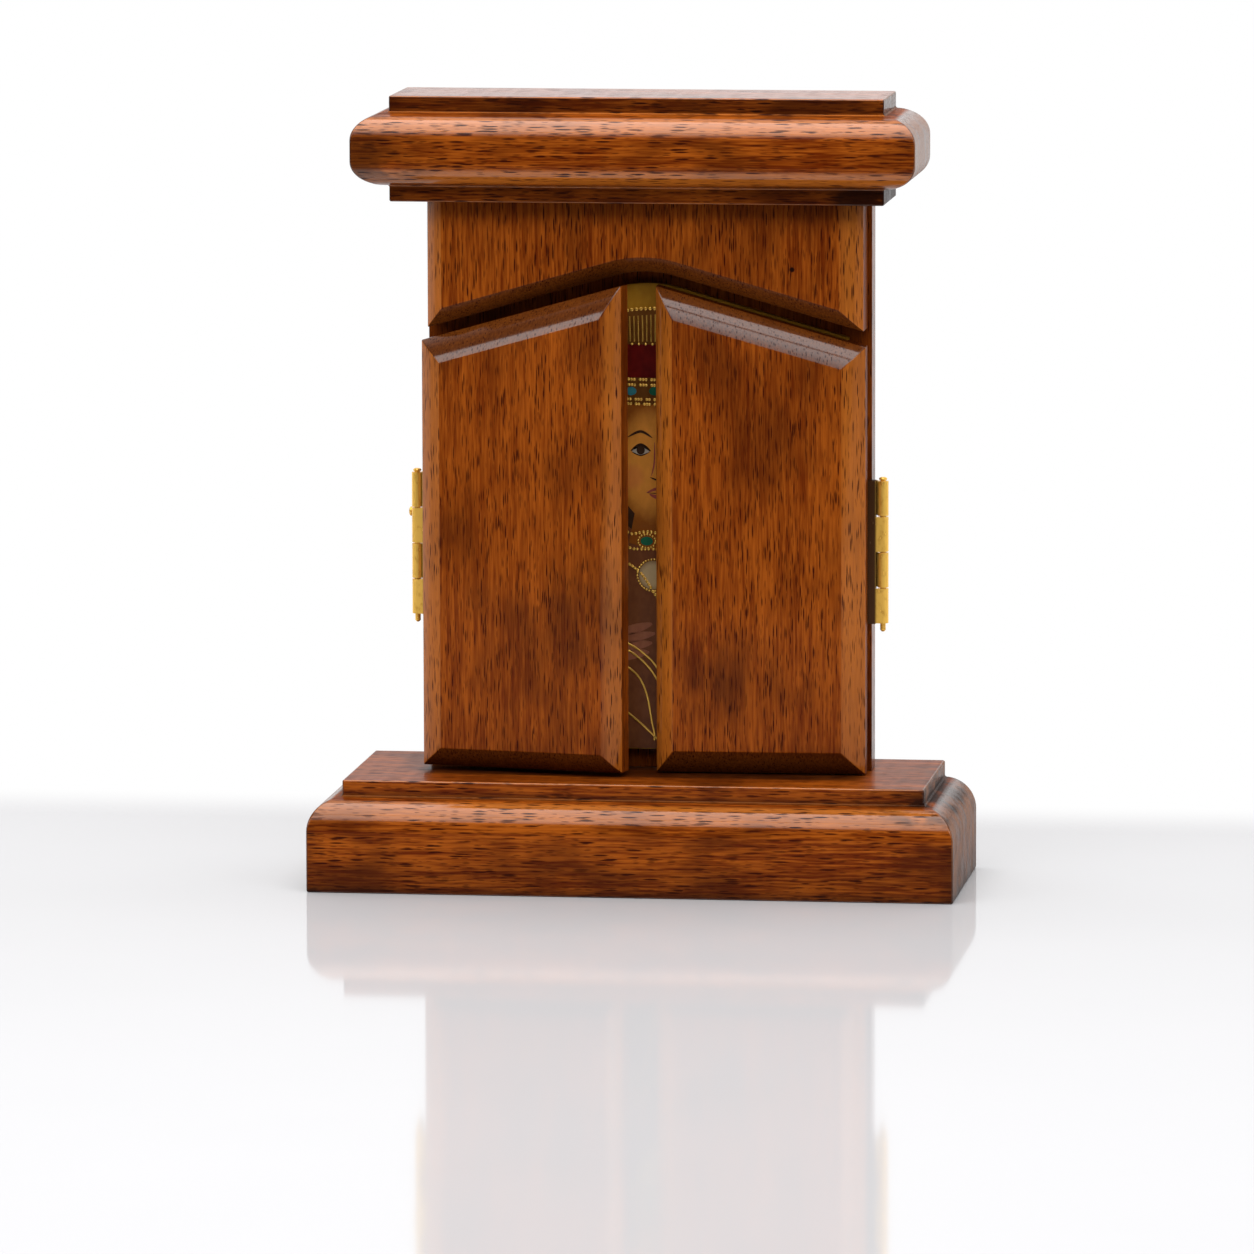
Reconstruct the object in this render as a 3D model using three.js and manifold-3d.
// Icon triptych: a small standing wooden case with a moulded base and cornice, a painted panel
// behind two gable-topped doors, and a folded brass butt hinge on each side.
// Millimetres, +Z up. The front faces -Y. The origin is the middle of the base's underside.

import * as THREE from 'three';
import { mergeVertices } from 'three/addons/utils/BufferGeometryUtils.js';
import Module from 'manifold-3d';

const wasm = await Module();
wasm.setup();

// Base: a board with a square fillet on top and a quarter round below it, on three sides
const baseHalfWidth = 87.6;
const baseDepth = 64.6;
const baseHeight = 29.6;
const baseRound = 8.6;
const filletHeight = 4.5;

// Cornice: a board with a fillet above and below, and a flattened round between fillet and face
const corniceHalfWidth = 76.2;
const corniceFront = -22.5;
const corniceHeight = 28.7;
const corniceRoundOut = 9.3;
const corniceRoundDown = 6.9;

// Back board: it stands on the base and carries everything above the base
const caseShift = 0.8;
const boardHalfWidth = 60.5;
const boardFront = 9.3;
const boardThickness = 8.0;
const bodyHeight = 155.7;

// Worked front edges of panel and doors: a shallow arc that meets both face and side at a crease.
// The tilts are the arc's own at its two ends, and each edge below has its own width on the face.
const edgeDepth = 4.4;
const edgeTiltAtFace = 28;
const edgeTiltAtSide = 56;

// Upper panel, with a gable cut out of its lower edge
const gableSlope = 0.285;
const panelLeftEdge = 4.5;
const panelRightEdge = 6.4;
const panelGableEdge = 4.2;
const panelHalfWidth = 59.3;
const panelThickness = 14.5;
const panelShoulder = 120.8;
const panelApexRadius = 30.0;

// Doors, drawn closed and then turned about their hinges to where they stand
const doorWidth = 56.8;
const doorThickness = 10.2;
const doorInnerHeight = 132.3;
const doorOuterSide = 59.6;
const doorOuterEdge = 6.4;
const doorInnerEdge = 4.9;
const doorTopEdge = 7.3;
const leftDoorFootEdge = 5.4;
const rightDoorFootEdge = 6.4;
const leftDoorLift = 1.2;
const rightDoorLift = 0.4;
const leftDoorAngle = 10.4;
const rightDoorAngle = 1.5;

// Painted panel: a thin gabled plate on the front of the back board
const iconHalfWidth = 54.4;
const iconThickness = 2.7;
const iconBottom = 5.5;
const iconShoulder = 118.4;
const iconApexRadius = 30.0;

// Hinges: leaves folded between door and board, with the barrel just outside the case
const hingeLength = 39.0;
const hingeHeight = 59.8;
const barrelRadius = 1.5;
const barrelOut = 63.7;
const knuckleCount = 4;
const knuckleGap = 0.3;
const knuckleRelief = 1.9;
const pinRadius = 0.75;
const pinBore = 0.9;
const pinTail = 2.2;
const pinHeadRadius = 1.1;
const pinHeadHeight = 0.9;
const leafThickness = 0.6;
const leafReach = 8.2;
const screwSpread = 12.5;
const screwReach = 6.0;
const screwHeadRadius = 1.3;
const screwShankRadius = 0.7;
const screwLength = 5.0;
const screwSlot = 0.35;

// A brass nail left standing proud of the back board's left edge, just behind the hinge
const nailHeight = 68.9;
const nailRadius = 1.3;
const nailHeadLength = 0.8;
const nailNeckLength = 0.35;
const nailNeckRadius = 0.9;
const nailCollarLength = 0.75;
const nailShankRadius = 0.65;
const nailProud = 6.3;
const nailBuried = 5.0;

// Clearances, facet counts and a length that safely passes any face being cut
const jointLine = 0.15;
const leafLine = 0.3;
const holeClearance = 0.3;
const pinHeadGap = 0.15;
const roundFacets = 24;
const smallFacets = 16;
const edgeFacets = 6;
const mouldFacets = 8;
const beyond = 20;

const bodyTop = baseHeight + bodyHeight;
const baseFront = -baseDepth / 2;
const baseBack = baseDepth / 2;
const boardBack = boardFront + boardThickness;
const panelFront = boardFront - panelThickness;
const hingeAxisY = boardFront - jointLine - barrelRadius;
const doorBack = hingeAxisY - barrelRadius - leafLine;
const boardMiddle = (boardFront + boardBack) / 2;
const hingeBottom = hingeHeight - hingeLength / 2;
const knuckleLength = hingeLength / knuckleCount;

const beech = new THREE.MeshStandardMaterial({ color: 0x7a3c14, roughness: 0.3, metalness: 0 });
const innerBeech = new THREE.MeshStandardMaterial({ color: 0x55260d, roughness: 0.38, metalness: 0 });
const brass = new THREE.MeshStandardMaterial({ color: 0xd9b24a, roughness: 0.28, metalness: 1 });
const paint = new THREE.MeshStandardMaterial({ color: 0x6b5a34, roughness: 0.42, metalness: 0 });

// A three.js geometry as a solid that can be joined and cut
function solid(geometry) {
  const bare = geometry.clone();
  bare.deleteAttribute('normal');
  bare.deleteAttribute('uv');
  const merged = mergeVertices(bare, 1e-4);
  return new wasm.Manifold(new wasm.Mesh({
    numProp: 3,
    vertProperties: Float32Array.from(merged.attributes.position.array),
    triVerts: Uint32Array.from(merged.index.array),
  }));
}

// A solid as a named mesh, with the point given as its own zero
function named(name, manifold, material, zero = [0, 0, 0]) {
  const result = manifold.getMesh();
  const geometry = new THREE.BufferGeometry();
  geometry.setAttribute('position', new THREE.BufferAttribute(result.vertProperties, 3));
  geometry.setIndex(new THREE.BufferAttribute(result.triVerts, 1));
  geometry.translate(-zero[0], -zero[1], -zero[2]);
  geometry.computeVertexNormals();
  const mesh = new THREE.Mesh(geometry, material);
  mesh.name = name;
  return mesh;
}

// A box between two corners, given in any order
function block(a, b) {
  const size = a.map((value, i) => Math.abs(b[i] - value));
  const middle = a.map((value, i) => (value + b[i]) / 2);
  return solid(new THREE.BoxGeometry(...size).translate(...middle));
}

function outline(points) {
  return new THREE.Shape(points.map(([u, v]) => new THREE.Vector2(u, v)));
}

// A round piece about the Y axis. Its profile runs from low to high, from axis to axis.
function turned(profile, facets) {
  const points = profile.map(([radius, along]) => new THREE.Vector2(radius, along));
  return new THREE.LatheGeometry(points, facets);
}

// An upright cylinder
function post(radius, x, y, low, high) {
  const cylinder = new THREE.CylinderGeometry(radius, radius, high - low, roundFacets);
  return solid(cylinder.rotateX(Math.PI / 2).translate(x, y, (low + high) / 2));
}

// A board that lies flat, with its upper edges (and lower ones, if both) worked to a round
function mouldedSlab(halfWidth, front, back, low, high, out, down, both) {
  const start = both ? low : low - beyond;
  const plan = outline([
    [-halfWidth, front],
    [halfWidth, front],
    [halfWidth, back + beyond],
    [-halfWidth, back + beyond],
  ]);
  const slab = solid(new THREE.ExtrudeGeometry(plan, {
    depth: high - start - 2 * down,
    bevelEnabled: true,
    bevelSize: out,
    bevelOffset: -out,
    bevelThickness: down,
    bevelSegments: mouldFacets,
  }).translate(0, 0, start + down));
  const side = halfWidth + beyond;
  const behind = block([-side, back, start - beyond], [side, back + 2 * beyond, high + beyond]);
  const below = block([-side, front - beyond, start - beyond], [side, back + beyond, low]);
  return slab.subtract(behind).subtract(below);
}

// An outline drawn in: each side moves inward by a share of its own width, and neighbours meet
// where they cross. The points run anticlockwise, and side i starts at point i.
function drawnIn(points, widths, share) {
  const sides = points.map((start, i) => {
    const end = points[(i + 1) % points.length];
    const length = Math.hypot(end[0] - start[0], end[1] - start[1]);
    const run = [(end[0] - start[0]) / length, (end[1] - start[1]) / length];
    const step = widths[i] * share;
    return { run, start: [start[0] - run[1] * step, start[1] + run[0] * step] };
  });
  return sides.map((side, i) => {
    const before = sides[(i + sides.length - 1) % sides.length];
    const cross = before.run[0] * side.run[1] - before.run[1] * side.run[0];
    const gap = [side.start[0] - before.start[0], side.start[1] - before.start[1]];
    const along = (gap[0] * side.run[1] - gap[1] * side.run[0]) / cross;
    return [before.start[0] + before.run[0] * along, before.start[1] + before.run[1] * along];
  });
}

// A solid between rings of equal count, each a { y, points } with points in x and z, front to back
function stackedRings(rings) {
  const count = rings[0].points.length;
  const last = (rings.length - 1) * count;
  const cap = (ring) => THREE.ShapeUtils.triangulateShape(
    ring.points.map(([u, v]) => new THREE.Vector2(u, v)),
    [],
  );
  const faces = [
    ...cap(rings[0]),
    ...cap(rings[rings.length - 1]).map(([a, b, c]) => [last + a, last + c, last + b]),
  ];
  for (let start = 0; start < last; start += count) {
    for (let i = 0; i < count; i += 1) {
      const a = start + i;
      const b = start + ((i + 1) % count);
      faces.push([a, a + count, b + count], [a, b + count, b]);
    }
  }
  const places = rings.flatMap(({ y, points }) => points.flatMap(([x, z]) => [x, y, z]));
  const geometry = new THREE.BufferGeometry();
  geometry.setAttribute('position', new THREE.Float32BufferAttribute(places, 3));
  geometry.setIndex(faces.flat());
  return solid(geometry);
}

// A board that stands, drawn in x and z, with its front edges worked to a shallow arc
function standingBoard(points, widths, front, back) {
  const [low, high] = [edgeTiltAtFace, edgeTiltAtSide].map(THREE.MathUtils.degToRad);
  const rings = [];
  for (let i = 0; i <= edgeFacets; i += 1) {
    const tilt = low + ((high - low) * i) / edgeFacets;
    const out = (Math.sin(tilt) - Math.sin(low)) / (Math.sin(high) - Math.sin(low));
    const deep = (Math.cos(low) - Math.cos(tilt)) / (Math.cos(low) - Math.cos(high));
    rings.push({ y: front + edgeDepth * deep, points: drawnIn(points, widths, 1 - out) });
  }
  rings.push({ y: back, points });
  return stackedRings(rings);
}

// The points of a gable from its right shoulder over a rounded apex to its left shoulder
function gablePoints(halfWidth, shoulder, radius) {
  const angle = Math.atan(gableSlope);
  const centre = shoulder + halfWidth * gableSlope - radius / Math.cos(angle);
  const points = [[halfWidth, shoulder]];
  for (let i = 0; i <= edgeFacets; i += 1) {
    const turn = angle * (1 - (2 * i) / edgeFacets);
    points.push([radius * Math.sin(turn), centre + radius * Math.cos(turn)]);
  }
  points.push([-halfWidth, shoulder]);
  return points;
}

function makeBase() {
  const fillet = block(
    [baseRound - baseHalfWidth, baseFront + baseRound, baseHeight / 2],
    [baseHalfWidth - baseRound, baseBack, baseHeight],
  );
  const shelf = baseHeight - filletHeight;
  const slab = mouldedSlab(baseHalfWidth, baseFront, baseBack, 0, shelf, baseRound, baseRound, false);
  return slab.add(fillet);
}

function makeCornice() {
  const low = bodyTop + jointLine;
  const high = bodyTop + corniceHeight;
  const inner = corniceHalfWidth - corniceRoundOut;
  const fillets = block([-inner, corniceFront + corniceRoundOut, low], [inner, boardBack, high]);
  return mouldedSlab(
    corniceHalfWidth,
    corniceFront,
    boardBack,
    low + filletHeight,
    high - filletHeight,
    corniceRoundOut,
    corniceRoundDown,
    true,
  ).add(fillets);
}

// Upper panel: worked in front at its sides and gable, and square under the cornice
function makeUpperPanel() {
  const top = bodyTop - jointLine;
  const gable = gablePoints(panelHalfWidth, baseHeight + panelShoulder, panelApexRadius).reverse();
  const points = [[-panelHalfWidth, top], ...gable, [panelHalfWidth, top]];
  const widths = [panelLeftEdge, ...gable.slice(1).map(() => panelGableEdge), panelRightEdge, 0];
  return standingBoard(points, widths, panelFront, boardFront - jointLine);
}

function makeIconPlate() {
  const low = baseHeight + iconBottom;
  const points = [
    [-iconHalfWidth, low],
    [iconHalfWidth, low],
    ...gablePoints(iconHalfWidth, baseHeight + iconShoulder, iconApexRadius),
  ];
  const plate = new THREE.ExtrudeGeometry(outline(points), { depth: iconThickness, bevelEnabled: false });
  return solid(plate.rotateX(Math.PI / 2).translate(0, boardFront - jointLine, 0));
}

// side is -1 on the left and 1 on the right
function makeDoor(side, lift, footEdge) {
  const low = baseHeight + lift;
  const outer = side * doorOuterSide;
  const inner = side * (doorOuterSide - doorWidth);
  const points = [
    [inner, low],
    [outer, low],
    [outer, low + doorInnerHeight - doorWidth * gableSlope],
    [inner, low + doorInnerHeight],
  ];
  const widths = [footEdge, doorOuterEdge, doorTopEdge];
  if (side < 0) {
    points.reverse();
    widths.reverse();
  }
  return standingBoard(points, [...widths, doorInnerEdge], doorBack - doorThickness, doorBack);
}

// A countersunk screw along Y, head towards -Y and its slot across the head
function screwSolid() {
  const point = screwShankRadius;
  const body = solid(turned([
    [0, 0],
    [screwHeadRadius, 0],
    [screwShankRadius, screwHeadRadius - screwShankRadius],
    [screwShankRadius, screwLength - point],
    [0, screwLength],
  ], smallFacets));
  const half = screwSlot / 2;
  return body.subtract(block([-beyond, -beyond, -half], [beyond, screwSlot, half]));
}

// The room that a screw takes in the pieces it passes through
function screwRoom() {
  const head = screwHeadRadius + holeClearance;
  const shank = screwShankRadius + holeClearance;
  return solid(turned([
    [0, -holeClearance],
    [head, -holeClearance],
    [head, 0],
    [shank, head - shank],
    [shank, screwLength + holeClearance],
    [0, screwLength + holeClearance],
  ], smallFacets));
}

// Everything about one hinge. inward is 1 where the case lies towards +X, on the left hinge.
function makeHinge(side, lift) {
  const inward = -side;
  const x = side * barrelOut;
  const low = baseHeight + lift + hingeBottom;
  const middle = low + hingeLength / 2;

  // towards is 1 for the leaf on the case, behind the barrel, and -1 for the leaf on the door
  function leaf(towards, firstKnuckle) {
    const near = hingeAxisY + towards * (barrelRadius - leafThickness);
    const far = hingeAxisY + towards * barrelRadius;
    let result = block(
      [x + inward * knuckleRelief, near, low],
      [x + inward * leafReach, far, low + hingeLength],
    );
    for (let k = firstKnuckle; k < knuckleCount; k += 2) {
      const start = low + k * knuckleLength + knuckleGap / 2;
      const end = low + (k + 1) * knuckleLength - knuckleGap / 2;
      const tab = block([x, near, start], [x + inward * (knuckleRelief + leafThickness), far, end]);
      result = result.add(post(barrelRadius, x, hingeAxisY, start, end)).add(tab);
    }
    return result.subtract(post(pinBore, x, hingeAxisY, low - beyond, low + hingeLength + beyond));
  }

  // Screw heads lie flush with the leaf's inner face
  function placed(form, towards, end) {
    const turnedForm = towards > 0 ? form : form.rotate([180, 0, 0]);
    return turnedForm.translate([
      x + inward * screwReach,
      hingeAxisY + towards * (barrelRadius - leafThickness),
      middle + end * screwSpread,
    ]);
  }

  const ends = [-1, 1];
  const parts = {};
  for (const [owner, towards, firstKnuckle] of [['case', 1, 1], ['door', -1, 0]]) {
    const rooms = ends.map((end) => placed(screwRoom(), towards, end));
    parts[owner] = {
      leaf: rooms.reduce((form, room) => form.subtract(room), leaf(towards, firstKnuckle)),
      screws: ends.map((end) => placed(screwSolid(), towards, end)),
      rooms,
    };
  }
  const tail = pinTail - pinRadius / 2;
  const pin = turned([
    [0, low - pinTail],
    [pinRadius / 2, low - pinTail],
    [pinRadius, low - tail],
    [pinRadius, low + hingeLength + pinHeadGap],
    [pinHeadRadius, low + hingeLength + pinHeadGap],
    [pinHeadRadius, low + hingeLength + pinHeadHeight / 2],
    [pinRadius, low + hingeLength + pinHeadHeight],
    [0, low + hingeLength + pinHeadHeight],
  ], roundFacets);
  parts.pin = solid(pin.rotateX(Math.PI / 2).translate(x, hingeAxisY, 0));
  parts.axis = [x, hingeAxisY, middle];
  return parts;
}

// A round piece that lies along X in the back board's left edge. Its profile is read outward.
function inLeftEdge(profile) {
  const piece = turned(profile, smallFacets).rotateZ(Math.PI / 2);
  return solid(piece.translate(0, boardMiddle, baseHeight + nailHeight));
}

// The nail has its grooved head outward, and its point ends inside the back board
function makeNail() {
  const end = boardHalfWidth - nailBuried;
  const tip = boardHalfWidth + nailProud;
  const neck = tip - nailHeadLength;
  const collar = neck - nailNeckLength;
  const shank = collar - nailCollarLength;
  const soft = nailRadius / 3;
  return inLeftEdge([
    [0, end],
    [nailShankRadius, end + nailShankRadius],
    [nailShankRadius, shank],
    [nailRadius, shank],
    [nailRadius, collar],
    [nailNeckRadius, collar],
    [nailNeckRadius, neck],
    [nailRadius, neck],
    [nailRadius, tip - soft],
    [nailRadius - soft, tip],
    [0, tip],
  ]);
}

function nailHole() {
  const end = boardHalfWidth - nailBuried - holeClearance;
  const radius = nailShankRadius + holeClearance;
  const mouth = boardHalfWidth + nailProud;
  return inLeftEdge([[0, end], [radius, end], [radius, mouth], [0, mouth]]);
}

const triptych = new THREE.Group();
triptych.add(named('base', makeBase(), beech));
triptych.add(named('cornice', makeCornice(), beech));

// Everything between base and cornice stands a little to the right of their middle
const body = new THREE.Group();
body.position.x = caseShift;
triptych.add(body);
body.add(named('upper_panel', makeUpperPanel(), beech));
body.add(named('icon_panel', makeIconPlate(), paint));

let board = block(
  [-boardHalfWidth, boardFront, baseHeight + jointLine],
  [boardHalfWidth, boardBack, bodyTop - jointLine],
).subtract(nailHole());

const wings = [
  { name: 'left', side: -1, lift: leftDoorLift, foot: leftDoorFootEdge, angle: -leftDoorAngle },
  { name: 'right', side: 1, lift: rightDoorLift, foot: rightDoorFootEdge, angle: rightDoorAngle },
];
for (const { name, side, lift, foot, angle } of wings) {
  const hinge = makeHinge(side, lift);
  board = hinge.case.rooms.reduce((form, room) => form.subtract(room), board);
  body.add(named(`hinge_${name}_case_leaf`, hinge.case.leaf, brass));
  body.add(named(`hinge_${name}_pin`, hinge.pin, brass));
  hinge.case.screws.forEach((screw, i) => {
    body.add(named(`hinge_${name}_case_screw_${i + 1}`, screw, brass));
  });

  // The wing turns about the hinge pin, from closed to where it stands
  const wing = new THREE.Group();
  wing.position.set(...hinge.axis);
  wing.rotation.z = THREE.MathUtils.degToRad(angle);
  body.add(wing);
  const plain = makeDoor(side, lift, foot);
  const door = hinge.door.rooms.reduce((form, room) => form.subtract(room), plain);
  wing.add(named(`door_${name}`, door, beech, hinge.axis));
  wing.add(named(`hinge_${name}_door_leaf`, hinge.door.leaf, brass, hinge.axis));
  hinge.door.screws.forEach((screw, i) => {
    wing.add(named(`hinge_${name}_door_screw_${i + 1}`, screw, brass, hinge.axis));
  });
}
body.add(named('back_board', board, innerBeech));
body.add(named('side_nail', makeNail(), brass));

export default triptych;
